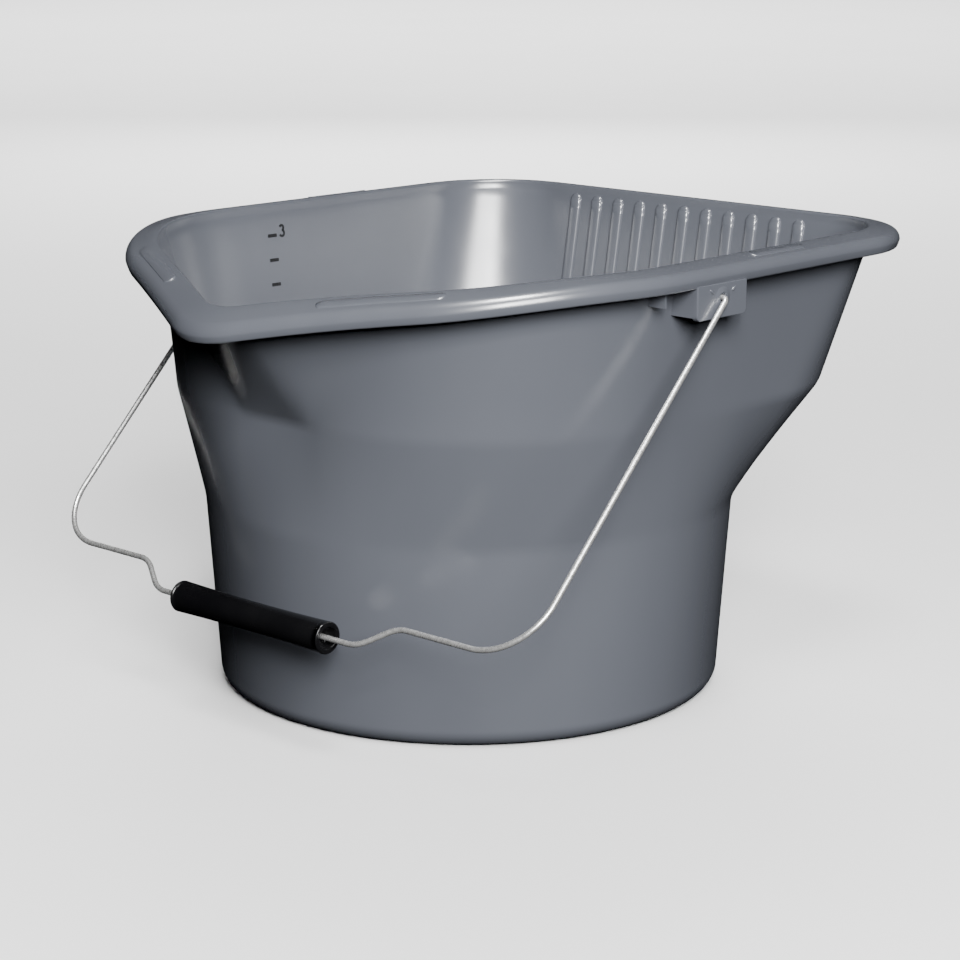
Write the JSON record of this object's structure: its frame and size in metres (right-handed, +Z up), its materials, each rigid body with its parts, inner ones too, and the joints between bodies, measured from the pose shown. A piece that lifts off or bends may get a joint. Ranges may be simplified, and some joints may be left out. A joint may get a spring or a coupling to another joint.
{
  "type": "paint roller pail",
  "caption": "Moulded paint pail with a pour spout, a ribbed ramp for a roller on the back wall and a wire bail with a turning hand grip.",
  "frame": {"origin": "centre of the flat resting base, on the floor", "axes": "+Z up, the pour spout points to -Y, the roller ramp is on +Y, X = 0 is the plane of symmetry"},
  "size_m": [0.3094, 0.3451, 0.215],
  "materials": {
    "pail_plastic": "satin moulded polypropylene",
    "mark_ink": "printed",
    "zinc_wire": "galvanised wire",
    "grip_plastic": "gloss"
  },
  "bodies": {
    "pail": {"pail_base": "pail_plastic", "flare_front": "pail_plastic", "flare_right": "pail_plastic", "flare_back": "pail_plastic", "flare_left": "pail_plastic", "spout_wall": "pail_plastic", "side_wall_right": "pail_plastic", "ramp_wall": "pail_plastic", "side_wall_left": "pail_plastic", "rim": "pail_plastic", "roller_ribs": "pail_plastic", "bail_ear_left": "pail_plastic", "bail_ear_right": "pail_plastic", "ear_gussets": "pail_plastic", "level_marks": "mark_ink", "rim_pads": "pail_plastic"},
    "bail": {"bail_wire": "zinc_wire"},
    "grip": {"grip": "grip_plastic"}
  },
  "joints": [
    {"name": "bail_swing", "type": "hinge", "parent": "pail", "child": "bail", "pos_m": [0, 0, 0.2], "axis": [-1, 0, 0], "range_deg": [-2.5, 274.5]},
    {"name": "grip_spin", "type": "hinge", "parent": "bail", "child": "grip", "pos_m": [0, -0.13893, 0.05613], "axis": [1, 0, 0], "continuous": true}
  ]
}
